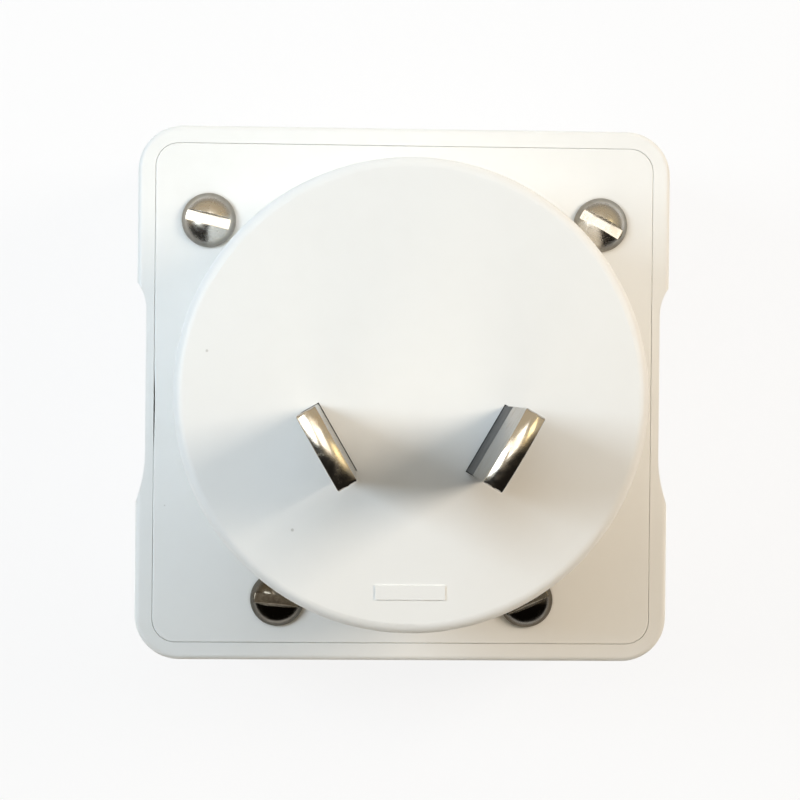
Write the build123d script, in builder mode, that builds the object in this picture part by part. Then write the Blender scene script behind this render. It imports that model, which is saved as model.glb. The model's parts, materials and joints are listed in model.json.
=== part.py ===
from build123d import *
import os
from math import cos, radians, sin

os.makedirs("parts", exist_ok=True)

# Travel adapter, in millimetres. It stands on its socket face, which is the plane Z = 0.
# The flat pins point up +Z. +Y is the side of the socket's earth aperture.

# Square body
body_width = 50.4
body_depth = 22.0
body_corner = 4.2
body_wall = 2.6
face_wall = 2.0
face_edge = 1.4
rim_width = 1.65
rim_edge = 0.5
grip_length = 20.8
grip_depth = 0.9
grip_upper_ramp = 2.6
grip_lower_ramp = 4.6
grip_lower_lean = 0.35
grip_start = 3.5
grip_slope = 2.5

# Cover plate and the round boss of the plug
cover_gap = 0.02
cover_thickness = 2.0
cover_corner = 2.2
cover_edge = 0.12
relief_length = 8.0
relief_depth = 0.1
relief_drop = 1.3
boss_radius = 19.8
boss_height = 20.0
boss_wall = 2.0
boss_face = 2.2
boss_edge = 0.9
pad_length = 5.8
pad_width = 1.2
pad_height = 0.12
pad_drop = 16.3

# Flat pins of the plug
plug_pin_width = 6.35
plug_pin_thickness = 1.63
plug_pin_length = 17.1
plug_pin_x = 6.85
plug_pin_y = -3.9
plug_pin_lean = 30.0
plug_pin_corner = 1.1
plug_pin_tip_round = 0.7
plug_pin_edge = 0.15
plug_slot_gap = 0.06
shoulder_width = 9.4
shoulder_height = 2.4
tail_width = 5.6
tail_below_retainer = 1.3
tenon_width = 2.4
tenon_gap = 0.02
tenon_head_height = 0.6
tenon_head_spread = 0.45

# Pins that the socket takes
line_pin_width = 6.35
line_pin_thickness = 3.97
earth_pin_width = 3.97
earth_pin_height = 7.92
pin_spread = 22.23
aperture_gap = 0.45
aperture_lead = 0.35

# Shutter and its spring
shutter_gap = 0.2
shutter_thickness = 2.2
shutter_cover = 0.55
shutter_upper_cover = 0.78
shutter_open_gap = 0.2
wing_overlap = 0.56
arm_inside = 3.2
arm_width = 2.8
wedge_half_width = 2.9
wedge_end = 0.9
wedge_lip = 1.0
cross_width = 4.2
guide_gap = 0.3
guide_width = 1.2
stop_half_length = 4.0
spring_rib_half_width = 2.6
spring_rib_y = 4.4
spring_radius = 0.8
spring_wire = 0.3
spring_turns = 11
spring_peg_length = 1.2
spring_peg_gap = 0.15

# Contact carrier
carrier_gap = 0.3
carrier_floor = 1.5
carrier_half_width = 12.0
carrier_end_y = 18.5
well_gap = 0.3
well_wall = 1.1
guide_tube_wall = 1.1
guide_tube_height = 4.6
guide_leg = 1.2
peg_x = 9.5
peg_y = 7.5
peg_radius = 1.1
peg_gap = 0.05
peg_shoulder = 0.7

# Contacts, clips, links and rivets
leaf_thickness = 0.6
leaf_squeeze = 0.12
flare = 0.7
flare_height = 1.8
contact_headroom = 1.2
contact_reach = 0.3
contact_bend = 0.5
tab_width = 4.2
tab_height = 7.7
clip_thickness = 0.4
clip_fit = 0.02
clip_height = 5.0
clip_start = 3.3
clip_open_inset = 0.6
link_thickness = 0.8
link_start = 1.8
link_pad_radius = 3.2
link_bend = 0.7
rivet_radius = 1.25
rivet_gap = 0.02
rivet_head_radius = 2.1
rivet_head_height = 0.6
rivet_rise = 4.7
rivet_dome = 0.3

# Retainer bar behind the flat pins
retainer_gap = 0.1
retainer_thickness = 2.4
retainer_width = 24.0
retainer_height = 12.6
retainer_corner = 3.0
tail_slot_gap = 0.15
retainer_screw_spread = 8.2
retainer_post_radius = 2.0
retainer_screw_radius = 0.83
retainer_head_radius = 1.9
retainer_head_height = 1.3
retainer_screw_bite = 3.4
retainer_slot_width = 0.5
retainer_slot_depth = 0.6

# Cover screws
upper_screw_bearing = 41.3
upper_screw_clearance = 2.28
lower_screw_bearing = -58.73
lower_screw_clearance = 0.3
screw_head_radius = 2.54
screw_head_height = 1.75
screw_head_rim = 0.35
screw_shank_radius = 1.4
screw_length = 12.0
screw_point = 1.5
screw_gap = 0.02
screw_hole_gap = 0.2
screw_slot_width = 0.95
screw_slot_depth = 0.9
post_radius = 2.5
post_web = 2.4
post_clearance = 0.3
slot_angles = (-13.0, -28.0, -6.0, 24.0)

# Levels up the Z axis
cover_z = body_depth - cover_thickness
boss_top_z = body_depth + boss_height
boss_inner_z = boss_top_z - boss_face
shutter_z = face_wall + shutter_gap
shutter_top_z = shutter_z + shutter_thickness
carrier_z = shutter_top_z + carrier_gap
seat_z = carrier_z + carrier_floor
contact_top_z = cover_z - contact_headroom
shoulder_z = boss_inner_z - shoulder_height
retainer_top_z = shoulder_z - retainer_gap
retainer_z = retainer_top_z - retainer_thickness
tail_z = retainer_z - tail_below_retainer
link_pad_z = tail_z - link_thickness
plug_tip_z = boss_top_z + plug_pin_length

# Widths and places worked out from them
half = body_width / 2
cavity_width = body_width - 2 * body_wall
pocket_width = body_width - 2 * rim_width
cover_width = pocket_width - 2 * cover_gap
line_x = pin_spread / 2
line_y = -pin_spread / 2
earth_y = pin_spread / 2
line_hole = (line_pin_width + 2 * aperture_gap, line_pin_thickness + 2 * aperture_gap)
earth_hole = (earth_pin_width + 2 * aperture_gap, earth_pin_height + 2 * aperture_gap)
line_places = [(-line_x, line_y), (line_x, line_y)]
screw_places = []
for bearing, clearance in (
    (upper_screw_bearing, upper_screw_clearance),
    (lower_screw_bearing, lower_screw_clearance),
):
    reach = boss_radius + clearance + screw_head_radius
    screw_x = reach * cos(radians(bearing))
    screw_y = reach * sin(radians(bearing))
    screw_places += [(-screw_x, screw_y), (screw_x, screw_y)]
retainer_screw_places = [
    (0, plug_pin_y + retainer_screw_spread / 2),
    (0, plug_pin_y - retainer_screw_spread / 2),
]

# The shutter's bar covers both line apertures, and its wedge stands in the earth aperture.
bar_low = line_y - line_hole[1] / 2 - shutter_cover
bar_high = line_y + line_hole[1] / 2 + shutter_upper_cover
bar_half = line_x + line_hole[0] / 2 + wing_overlap
shutter_travel = line_y + line_hole[1] / 2 + shutter_open_gap - bar_low
wedge_open_y = earth_y + earth_pin_height / 2 + shutter_open_gap
wedge_tip_y = wedge_open_y - shutter_travel
wedge_tip_z = shutter_z + shutter_travel
wedge_top_z = wedge_tip_z + wedge_lip
wedge_end_y = wedge_open_y + wedge_end
arm_outside = arm_inside + arm_width
shutter_mid_z = shutter_z + shutter_thickness / 2

# Well of a contact, measured outwards from the middle plane X = 0
leaf_gap = line_pin_thickness - leaf_squeeze
leaf_outside = leaf_gap / 2 + leaf_thickness
web_inside = line_x + line_pin_width / 2 + contact_reach
web_outside = web_inside + leaf_thickness
leaf_open_x = line_x - line_pin_width / 2
tab_x = leaf_open_x + tab_width / 2
well_inside = line_x - line_hole[0] / 2
well_outside = web_outside + clip_fit + clip_thickness + well_gap
well_half_y = leaf_outside + flare + well_gap
link_y = line_y + leaf_outside
rivet_z = contact_top_z + rivet_rise


def side_of(side, inner, outer):
    """Middle and width of a stretch of X that runs from inner to outer on the side +1 or -1."""
    return side * (inner + outer) / 2, outer - inner


def pin_angle(side):
    """Direction of a flat pin's width, measured from +X about +Z."""
    return 90 - side * plug_pin_lean


def grip_cut(side):
    """Shallow hollow for a finger: crisp at its upper end, and blended at its other ends."""
    floor = half - grip_depth
    end = grip_length / 2
    beyond = half + body_wall
    with BuildPart() as cut:
        with BuildSketch(Plane.XY.offset(grip_start)):
            with BuildLine():
                lower = Spline(
                    (half, -end),
                    (floor, -end + grip_lower_ramp),
                    tangents=((-grip_lower_lean, 1), (0, 1)),
                )
                bottom = Line(lower @ 1, (floor, end - grip_upper_ramp))
                upper = TangentArc(bottom @ 1, (half, end), tangent=(0, 1))
                Polyline(upper @ 1, (beyond, end), (beyond, -end), (half, -end))
            make_face()
        extrude(amount=body_depth)
        with BuildSketch(Plane.XZ):
            with BuildLine():
                Polyline(
                    (half, grip_start),
                    (floor, grip_start + grip_slope),
                    (floor, grip_start + body_depth),
                    (beyond, grip_start + body_depth),
                    (beyond, grip_start),
                    close=True,
                )
            make_face()
        extrude(amount=grip_length, both=True, mode=Mode.INTERSECT)
    return cut.part if side > 0 else mirror(cut.part, about=Plane.YZ)


grip_cuts = [grip_cut(side) for side in (-1, 1)]

# Square tub with the socket's face, screw posts and the ribs that guide the shutter
with BuildPart() as socket_housing:
    with BuildSketch():
        RectangleRounded(body_width, body_width, body_corner)
    extrude(amount=body_depth)
    fillet(socket_housing.faces().sort_by(Axis.Z)[0].edges(), face_edge)
    fillet(socket_housing.faces().sort_by(Axis.Z)[-1].edges(), rim_edge)
    with BuildSketch(Plane.XY.offset(face_wall)):
        RectangleRounded(cavity_width, cavity_width, body_corner - body_wall)
    extrude(amount=body_depth, mode=Mode.SUBTRACT)
    with BuildSketch(Plane.XY.offset(cover_z)):
        RectangleRounded(pocket_width, pocket_width, cover_corner + cover_gap)
    extrude(amount=body_depth, mode=Mode.SUBTRACT)
    for cut in grip_cuts:
        add(cut, mode=Mode.SUBTRACT)
    with BuildSketch(Plane.XY.offset(face_wall)):
        with Locations(*screw_places):
            Circle(post_radius)
        for x, y in screw_places:
            if abs(x) > abs(y):
                reach = cavity_width / 2 + body_wall / 2 - abs(x)
                with Locations((x + (reach / 2 if x > 0 else -reach / 2), y)):
                    Rectangle(reach, post_web)
            else:
                reach = cavity_width / 2 + body_wall / 2 - abs(y)
                with Locations((x, y - reach / 2)):
                    Rectangle(post_web, reach)
    extrude(amount=cover_z - face_wall)
    with BuildSketch(Plane.XY.offset(cover_z)):
        with Locations(*screw_places):
            Circle(screw_shank_radius + screw_gap)
    extrude(amount=-screw_length, mode=Mode.SUBTRACT)
    with BuildSketch(Plane.XY.offset(face_wall)):
        guide_low = bar_low - guide_gap
        guide_high = bar_high + shutter_travel
        for side in (-1, 1):
            x, width = side_of(side, bar_half + guide_gap, bar_half + guide_gap + guide_width)
            with Locations((x, (guide_low + guide_high) / 2)):
                Rectangle(width, guide_high - guide_low)
        with Locations((0, bar_low - shutter_gap - guide_width / 2)):
            Rectangle(2 * stop_half_length, guide_width)
        with Locations((0, spring_rib_y + guide_width / 2)):
            Rectangle(2 * spring_rib_half_width, guide_width)
        with Locations((-peg_x, peg_y), (peg_x, peg_y)):
            Circle(peg_radius + peg_shoulder)
    extrude(amount=carrier_z - face_wall)
    with BuildSketch(Plane.XY.offset(carrier_z)):
        with Locations((-peg_x, peg_y), (peg_x, peg_y)):
            Circle(peg_radius)
    extrude(amount=carrier_floor)
    with BuildSketch(Plane.XZ.offset(-spring_rib_y)):
        with Locations((0, shutter_mid_z)):
            Circle(spring_radius - spring_wire / 2 - spring_peg_gap)
    extrude(amount=spring_peg_length)
    with BuildSketch():
        with Locations(*line_places):
            Rectangle(*line_hole)
        with Locations((0, earth_y)):
            Rectangle(*earth_hole)
    extrude(amount=face_wall, mode=Mode.SUBTRACT)
    mouths = socket_housing.faces().sort_by(Axis.Z)[0].inner_wires().edges()
    chamfer(mouths, aperture_lead)
socket_housing.part.label = "socket_housing"
export_step(socket_housing.part, "parts/socket_housing.step")

# Inset plate and hollow round boss, one moulding, with slots for the flat pins
with BuildPart() as plug_cover:
    with BuildSketch(Plane.XY.offset(cover_z)):
        RectangleRounded(cover_width, cover_width, cover_corner)
        with BuildLine():
            edge_x = -cover_width / 2
            relief = ThreePointArc(
                (edge_x, -relief_drop - relief_length / 2),
                (edge_x + relief_depth, -relief_drop),
                (edge_x, relief_length / 2 - relief_drop),
            )
            Line(relief @ 1, relief @ 0)
        make_face(mode=Mode.SUBTRACT)
    extrude(amount=cover_thickness)
    fillet(plug_cover.faces().sort_by(Axis.Z)[-1].edges(), cover_edge)
    with BuildSketch(Plane.XY.offset(cover_z)):
        Circle(boss_radius)
    extrude(amount=boss_top_z - cover_z)
    fillet(plug_cover.faces().sort_by(Axis.Z)[-1].edges(), boss_edge)
    with BuildSketch(Plane.XY.offset(cover_z)):
        Circle(boss_radius - boss_wall)
    extrude(amount=boss_inner_z - cover_z, mode=Mode.SUBTRACT)
    with BuildSketch(Plane.XY.offset(boss_inner_z)):
        with Locations(*retainer_screw_places):
            Circle(retainer_post_radius)
    extrude(amount=retainer_top_z - boss_inner_z)
    with BuildSketch(Plane.XY.offset(retainer_top_z)):
        with Locations(*retainer_screw_places):
            Circle(retainer_screw_radius + screw_gap)
    extrude(amount=retainer_screw_bite + screw_gap, mode=Mode.SUBTRACT)
    with BuildSketch(Plane.XY.offset(boss_inner_z)):
        for side in (-1, 1):
            with Locations(Location((side * plug_pin_x, plug_pin_y), pin_angle(side))):
                Rectangle(
                    plug_pin_width + 2 * plug_slot_gap, plug_pin_thickness + 2 * plug_slot_gap
                )
    extrude(amount=boss_face, mode=Mode.SUBTRACT)
    with BuildSketch(Plane.XY.offset(cover_z)):
        with Locations(*screw_places):
            Circle(screw_shank_radius + screw_hole_gap)
    extrude(amount=cover_thickness, mode=Mode.SUBTRACT)
    with BuildSketch(Plane.XY.offset(boss_top_z)):
        with Locations((0, -pad_drop)):
            Rectangle(pad_length, pad_width)
    extrude(amount=pad_height)
plug_cover.part.label = "plug_cover"
export_step(plug_cover.part, "parts/plug_cover.step")

# Sliding shutter: a bar over the line apertures, two arms, and a wedge that the earth pin pushes
with BuildPart() as shutter:
    with BuildSketch(Plane.XY.offset(shutter_z)):
        with Locations((0, (bar_low + bar_high) / 2)):
            Rectangle(2 * bar_half, bar_high - bar_low)
        for side in (-1, 1):
            x, width = side_of(side, arm_inside, arm_outside)
            with Locations((x, (bar_high + wedge_end_y) / 2)):
                Rectangle(width, wedge_end_y - bar_high)
            x, width = side_of(side, wedge_half_width, arm_outside)
            with Locations((x, wedge_end_y - cross_width / 2)):
                Rectangle(width, cross_width)
    extrude(amount=shutter_thickness)
    with BuildSketch(Plane.YZ):
        with BuildLine():
            Polyline(
                (wedge_open_y, shutter_z),
                (wedge_tip_y, wedge_tip_z),
                (wedge_tip_y, wedge_top_z),
                (wedge_end_y, wedge_top_z),
                (wedge_end_y, shutter_z),
                close=True,
            )
        make_face()
    extrude(amount=wedge_half_width, both=True)
    with BuildSketch(Plane.XZ.offset(-bar_high)):
        with Locations((0, shutter_mid_z)):
            Circle(spring_radius - spring_wire / 2 - spring_peg_gap)
    extrude(amount=-spring_peg_length)
shutter.part.label = "shutter"
export_step(shutter.part, "parts/shutter.step")

# Compression spring between the shutter's bar and the rib of the housing
with BuildPart() as shutter_spring:
    coil_length = spring_rib_y - bar_high - spring_wire
    with BuildLine():
        coil = Helix(
            coil_length / spring_turns,
            coil_length,
            spring_radius,
            center=(0, bar_high + spring_wire / 2, shutter_mid_z),
            direction=(0, 1, 0),
        )
    with BuildSketch(Plane(origin=coil @ 0, z_dir=coil % 0)):
        Circle(spring_wire / 2)
    sweep(is_frenet=True)
shutter_spring.part.label = "shutter_spring"
export_step(shutter_spring.part, "parts/shutter_spring.step")

# Insulating moulding with a well for each contact and a guide for the earth pin
with BuildPart() as contact_carrier:
    with BuildSketch(Plane.XY.offset(carrier_z)):
        with Locations((0, line_y)):
            Rectangle(2 * (well_outside + well_wall), 2 * (well_half_y + well_wall))
        with Locations((0, (line_y + carrier_end_y) / 2)):
            Rectangle(2 * carrier_half_width, carrier_end_y - line_y)
        with Locations((-peg_x, peg_y), (peg_x, peg_y)):
            Circle(peg_radius + peg_gap, mode=Mode.SUBTRACT)
    extrude(amount=carrier_floor)
    with BuildSketch(Plane.XY.offset(seat_z)):
        for side in (-1, 1):
            x, width = side_of(side, well_inside, well_outside)
            with Locations((x, line_y)):
                Rectangle(width + 2 * well_wall, 2 * (well_half_y + well_wall))
                Rectangle(width, 2 * well_half_y, mode=Mode.SUBTRACT)
    extrude(amount=cover_z - seat_z)
    with BuildSketch(Plane.XY.offset(carrier_z)):
        guide_half = wedge_half_width + guide_gap + guide_leg
        with Locations((0, earth_y)):
            Rectangle(2 * guide_half, earth_hole[1] + 2 * guide_tube_wall)
    extrude(amount=wedge_top_z + carrier_gap + guide_tube_height - carrier_z)
    with BuildSketch(Plane.XY.offset(carrier_z)):
        with Locations(*line_places):
            Rectangle(*line_hole)
        with Locations((0, earth_y)):
            Rectangle(*earth_hole)
    extrude(amount=cover_z, mode=Mode.SUBTRACT)
    with BuildSketch(Plane.XY.offset(carrier_z)):
        window_low = earth_y - earth_hole[1] / 2
        window_high = carrier_end_y
        with Locations((0, (window_low + window_high) / 2)):
            Rectangle(2 * (wedge_half_width + guide_gap), window_high - window_low)
    extrude(amount=wedge_top_z + carrier_gap - carrier_z, mode=Mode.SUBTRACT)
    with BuildSketch(Plane.XY.offset(carrier_z)):
        with Locations(*screw_places):
            Circle(post_radius + post_clearance)
    extrude(amount=cover_z, mode=Mode.SUBTRACT)
contact_carrier.part.label = "contact_carrier"
export_step(contact_carrier.part, "parts/contact_carrier.step")

# Bar that holds both flat pins by their shoulders, screwed to posts inside the boss
with BuildPart() as pin_retainer:
    with BuildSketch(Plane.XY.offset(retainer_z)):
        with Locations((0, plug_pin_y)):
            RectangleRounded(retainer_width, retainer_height, retainer_corner)
        for side in (-1, 1):
            with Locations(Location((side * plug_pin_x, plug_pin_y), pin_angle(side))):
                Rectangle(
                    tail_width + 2 * tail_slot_gap,
                    plug_pin_thickness + 2 * tail_slot_gap,
                    mode=Mode.SUBTRACT,
                )
        with Locations(*retainer_screw_places):
            Circle(retainer_screw_radius + screw_hole_gap, mode=Mode.SUBTRACT)
    extrude(amount=retainer_thickness)
pin_retainer.part.label = "pin_retainer"
export_step(pin_retainer.part, "parts/pin_retainer.step")


def plug_pin(side):
    """Solid flat pin: rounded tip, shoulders inside the boss, a tail and a riveted-over tenon."""
    turn = radians(pin_angle(side))
    along = (cos(turn), sin(turn), 0)
    across = (-sin(turn), cos(turn), 0)
    foot = (side * plug_pin_x, plug_pin_y, 0)
    broad_side = Plane(origin=foot, x_dir=along, z_dir=(sin(turn), -cos(turn), 0))
    narrow_side = Plane(origin=foot, x_dir=across, z_dir=along)
    blade_z = (boss_inner_z + plug_tip_z) / 2
    blade_length = plug_tip_z - boss_inner_z
    tenon_half = tenon_width / 2
    with BuildPart() as pin:
        with BuildSketch(Plane.XY.offset(boss_inner_z)):
            with Locations(Location((side * plug_pin_x, plug_pin_y), pin_angle(side))):
                RectangleRounded(plug_pin_width, plug_pin_thickness, plug_pin_edge)
        extrude(amount=blade_length)
        with BuildSketch(broad_side) as face:
            with Locations((0, blade_z)):
                Rectangle(plug_pin_width, blade_length)
            fillet(face.vertices().group_by(Axis.Y)[-1], plug_pin_corner)
        extrude(amount=plug_pin_thickness, both=True, mode=Mode.INTERSECT)
        with BuildSketch(narrow_side) as edge:
            with Locations((0, blade_z)):
                Rectangle(plug_pin_thickness, blade_length)
            fillet(edge.vertices().group_by(Axis.Y)[-1], plug_pin_tip_round)
        extrude(amount=plug_pin_width, both=True, mode=Mode.INTERSECT)
        with BuildSketch(broad_side):
            with BuildLine():
                Polyline(
                    (shoulder_width / 2, boss_inner_z),
                    (-shoulder_width / 2, boss_inner_z),
                    (-shoulder_width / 2, shoulder_z),
                    (-tail_width / 2, shoulder_z),
                    (-tail_width / 2, tail_z),
                    (-tenon_half, tail_z),
                    (-tenon_half, link_pad_z),
                    (-tenon_half - tenon_head_spread, link_pad_z),
                    (-tenon_half - tenon_head_spread, link_pad_z - tenon_head_height),
                    (tenon_half + tenon_head_spread, link_pad_z - tenon_head_height),
                    (tenon_half + tenon_head_spread, link_pad_z),
                    (tenon_half, link_pad_z),
                    (tenon_half, tail_z),
                    (tail_width / 2, tail_z),
                    (tail_width / 2, shoulder_z),
                    (shoulder_width / 2, shoulder_z),
                    close=True,
                )
            make_face()
        extrude(amount=plug_pin_thickness / 2, both=True)
    return pin.part


def line_contact(side):
    """Folded strip: two leaves with a flared mouth, a web on the outer side, and a tab on one leaf."""
    with BuildPart() as contact:
        with BuildSketch(Plane.XY.offset(seat_z + flare_height)):
            x, width = side_of(side, leaf_open_x, web_outside)
            with Locations((x, line_y)):
                Rectangle(width, 2 * leaf_outside)
            x, width = side_of(side, leaf_open_x, web_inside)
            with Locations((x, line_y)):
                Rectangle(width, leaf_gap, mode=Mode.SUBTRACT)
        extrude(amount=contact_top_z - seat_z - flare_height)
        bends = contact.edges().filter_by(Axis.Z).sort_by(Axis.X)
        fillet(bends[-2:] if side > 0 else bends[:2], contact_bend)
        x, width = side_of(side, leaf_open_x, web_inside)
        with BuildSketch(Plane.YZ.offset(x)):
            for up in (-1, 1):
                inner = line_y + up * leaf_gap / 2
                outer = line_y + up * leaf_outside
                with BuildLine():
                    Polyline(
                        (inner, seat_z + flare_height),
                        (outer, seat_z + flare_height),
                        (outer + up * flare, seat_z),
                        (inner + up * flare, seat_z),
                        close=True,
                    )
                make_face()
        extrude(amount=width / 2, both=True)
        with BuildSketch(Plane.XZ.offset(-link_y)):
            with Locations((side * tab_x, contact_top_z + tab_height / 2)):
                Rectangle(tab_width, tab_height)
        extrude(amount=leaf_thickness)
        with BuildSketch(Plane.XZ.offset(-link_y)):
            with Locations((side * tab_x, rivet_z)):
                Circle(rivet_radius + rivet_gap)
        extrude(amount=leaf_thickness, mode=Mode.SUBTRACT)
    return contact.part


def grip_clip(side):
    """Steel strip folded round both leaves from the web's side."""
    arm_y = leaf_outside + clip_fit
    with BuildPart() as clip:
        with BuildSketch(Plane.XY.offset(seat_z + clip_start)):
            open_x = leaf_open_x + clip_open_inset
            x, width = side_of(side, open_x, web_outside + clip_fit + clip_thickness)
            with Locations((x, line_y)):
                Rectangle(width, 2 * (arm_y + clip_thickness))
            x, width = side_of(side, open_x, web_outside + clip_fit)
            with Locations((x, line_y)):
                Rectangle(width, 2 * arm_y, mode=Mode.SUBTRACT)
        extrude(amount=clip_height)
        bends = clip.edges().filter_by(Axis.Z).sort_by(Axis.X)
        fillet(bends[-2:] if side > 0 else bends[:2], contact_bend)
    return clip.part


def line_link(side):
    """Brass strap: a leg riveted to the contact's tab, bent to a pad under the flat pin's tail."""
    leg_z = contact_top_z + link_start
    with BuildPart() as link:
        with BuildSketch(Plane.XZ.offset(-link_y - link_thickness)):
            with Locations((side * tab_x, (leg_z + tail_z) / 2)):
                Rectangle(tab_width, tail_z - leg_z)
        extrude(amount=link_thickness)
        with BuildSketch(Plane.XY.offset(link_pad_z)):
            with Locations((side * tab_x, link_y + link_thickness / 2)):
                Rectangle(tab_width, link_thickness)
            with Locations((side * plug_pin_x, plug_pin_y)):
                Circle(link_pad_radius)
            make_hull()
        extrude(amount=link_thickness)
        bend = link.edges().filter_by(Axis.X).group_by(Axis.Z)[-1].sort_by(Axis.Y)[0]
        fillet(bend, link_bend)
        with BuildSketch(Plane.XY.offset(link_pad_z)):
            with Locations(Location((side * plug_pin_x, plug_pin_y), pin_angle(side))):
                Rectangle(tenon_width + 2 * tenon_gap, plug_pin_thickness + 2 * tenon_gap)
        extrude(amount=link_thickness, mode=Mode.SUBTRACT)
        with BuildSketch(Plane.XZ.offset(-link_y - link_thickness)):
            with Locations((side * tab_x, rivet_z)):
                Circle(rivet_radius + rivet_gap)
        extrude(amount=link_thickness, mode=Mode.SUBTRACT)
    return link.part


def line_rivet(side):
    """Rivet through the tab and the link's leg, with a head on each side."""
    grip = leaf_thickness + link_thickness
    start = -(link_y + link_thickness)
    with BuildPart() as rivet:
        with BuildSketch(Plane.XZ.offset(start)):
            with Locations((side * tab_x, rivet_z)):
                Circle(rivet_radius)
        extrude(amount=grip)
        with BuildSketch(Plane.XZ.offset(start)):
            with Locations((side * tab_x, rivet_z)):
                Circle(rivet_head_radius)
        extrude(amount=-rivet_head_height)
        with BuildSketch(Plane.XZ.offset(start + grip)):
            with Locations((side * tab_x, rivet_z)):
                Circle(rivet_head_radius)
        extrude(amount=rivet_head_height)
        rims = rivet.edges().filter_by(GeomType.CIRCLE).sort_by(Axis.Y)
        fillet([rims[0], rims[-1]], rivet_dome)
    return rivet.part


for name, side in (("live", -1), ("neutral", 1)):
    pieces = {
        "pin": plug_pin(side),
        "contact": line_contact(side),
        "grip_clip": grip_clip(side),
        "link": line_link(side),
        "rivet": line_rivet(side),
    }
    for kind, piece in pieces.items():
        piece.label = f"{name}_{kind}"
        export_step(piece, f"parts/{piece.label}.step")

# Two small screws hold the retainer bar. Their heads are on its underside.
for number, (x, y) in enumerate(retainer_screw_places, start=1):
    with BuildPart() as retainer_screw:
        with BuildSketch(Plane.XY.offset(retainer_z)):
            with Locations((x, y)):
                Circle(retainer_head_radius)
        extrude(amount=-retainer_head_height)
        with BuildSketch(Plane.XY.offset(retainer_z)):
            with Locations((x, y)):
                Circle(retainer_screw_radius)
        extrude(amount=retainer_thickness + retainer_screw_bite)
        with BuildSketch(Plane.XY.offset(retainer_z - retainer_head_height)):
            with Locations((x, y)):
                Rectangle(2 * retainer_head_radius, retainer_slot_width)
        extrude(amount=retainer_slot_depth, mode=Mode.SUBTRACT)
    retainer_screw.part.label = f"retainer_screw_{number}"
    export_step(retainer_screw.part, f"parts/retainer_screw_{number}.step")

# Four slotted screws with domed heads join the cover to the housing's posts.
for number, (place, slot_angle) in enumerate(zip(screw_places, slot_angles), start=1):
    with BuildPart() as cover_screw:
        with BuildSketch(Plane(origin=(*place, 0), x_dir=(1, 0, 0), z_dir=(0, -1, 0))):
            with BuildLine():
                rim_z = body_depth + screw_head_rim
                top_z = body_depth + screw_head_height
                rise = screw_head_height - screw_head_rim
                crown = (screw_head_radius**2 + rise**2) / (2 * rise)
                end_z = body_depth - screw_length
                Polyline(
                    (0, top_z),
                    (0, end_z),
                    (screw_shank_radius, end_z + screw_point),
                    (screw_shank_radius, body_depth),
                    (screw_head_radius, body_depth),
                    (screw_head_radius, rim_z),
                )
                RadiusArc((screw_head_radius, rim_z), (0, top_z), -crown)
            make_face()
        revolve(axis=Axis((*place, 0), (0, 0, 1)))
        with BuildSketch(Plane.XY.offset(top_z)):
            with Locations(Location(place, slot_angle)):
                Rectangle(3 * screw_head_radius, screw_slot_width)
        extrude(amount=-screw_slot_depth, mode=Mode.SUBTRACT)
    cover_screw.part.label = f"cover_screw_{number}"
    export_step(cover_screw.part, f"parts/cover_screw_{number}.step")
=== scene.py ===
"""Finishes, fine surfaces, studio and camera of the travel adapter.

Lengths are in metres in the model's own frame: the adapter stands on its socket face, and its
flat pins point up +Z. Textures work in millimetres.
"""

import json
import logging
import math
from dataclasses import dataclass
from enum import Enum
from typing import Any

import bpy
import numpy as np
from mathutils import Matrix, Vector

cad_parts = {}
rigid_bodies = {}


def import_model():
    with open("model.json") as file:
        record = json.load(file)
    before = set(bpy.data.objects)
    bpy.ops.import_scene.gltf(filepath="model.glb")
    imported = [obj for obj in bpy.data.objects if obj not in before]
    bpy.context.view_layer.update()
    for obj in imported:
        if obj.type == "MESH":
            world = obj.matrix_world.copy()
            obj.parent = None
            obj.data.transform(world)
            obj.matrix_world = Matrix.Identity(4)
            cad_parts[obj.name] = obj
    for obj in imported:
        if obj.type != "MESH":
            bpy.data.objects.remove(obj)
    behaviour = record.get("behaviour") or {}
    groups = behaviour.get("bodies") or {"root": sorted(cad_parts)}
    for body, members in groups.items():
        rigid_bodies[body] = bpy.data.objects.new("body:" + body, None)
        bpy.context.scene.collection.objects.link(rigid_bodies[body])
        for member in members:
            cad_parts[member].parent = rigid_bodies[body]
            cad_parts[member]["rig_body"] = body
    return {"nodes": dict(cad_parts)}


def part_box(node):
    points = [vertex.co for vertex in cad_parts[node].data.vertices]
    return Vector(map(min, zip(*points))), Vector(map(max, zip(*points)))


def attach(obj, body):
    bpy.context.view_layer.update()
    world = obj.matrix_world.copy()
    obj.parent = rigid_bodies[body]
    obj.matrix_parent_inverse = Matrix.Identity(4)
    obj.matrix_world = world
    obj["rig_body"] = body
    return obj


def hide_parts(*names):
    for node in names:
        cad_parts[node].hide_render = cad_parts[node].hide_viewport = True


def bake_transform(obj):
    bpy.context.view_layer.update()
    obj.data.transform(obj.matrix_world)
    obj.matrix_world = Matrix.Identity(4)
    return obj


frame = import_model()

MM = 0.001
FACE_HEIGHT = 42.0 * MM
SHARP_ANGLE = math.radians(38)

# The slot's turn in degrees and the share of painted shade that darkens the plate, for each screw
# of the cover.
SCREWS = {
    "cover_screw_1": (-13.0, 0.0),
    "cover_screw_2": (-28.0, 0.04),
    # The lower two screws are painted dark, as shade for the dark surroundings that their domes
    # reflect.
    "cover_screw_3": (-6.0, 0.92),
    "cover_screw_4": (24.0, 0.9),
}
# The side of the plug and the height of the painted reflection, a dark blue-grey band up from the
# face, for each flat pin.
PINS = {"live_pin": (-1, 0.0), "neutral_pin": (1, 6.6 * MM)}

Colour = tuple[float, float, float]
Place = tuple[float, float, float]
Span = tuple[float, float]

log = logging.getLogger("adapter")


class Op(Enum):
    """Math operations that an expression calls by name."""

    SINE = "SINE"
    ABSOLUTE = "ABSOLUTE"
    MINIMUM = "MINIMUM"
    MAXIMUM = "MAXIMUM"


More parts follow.
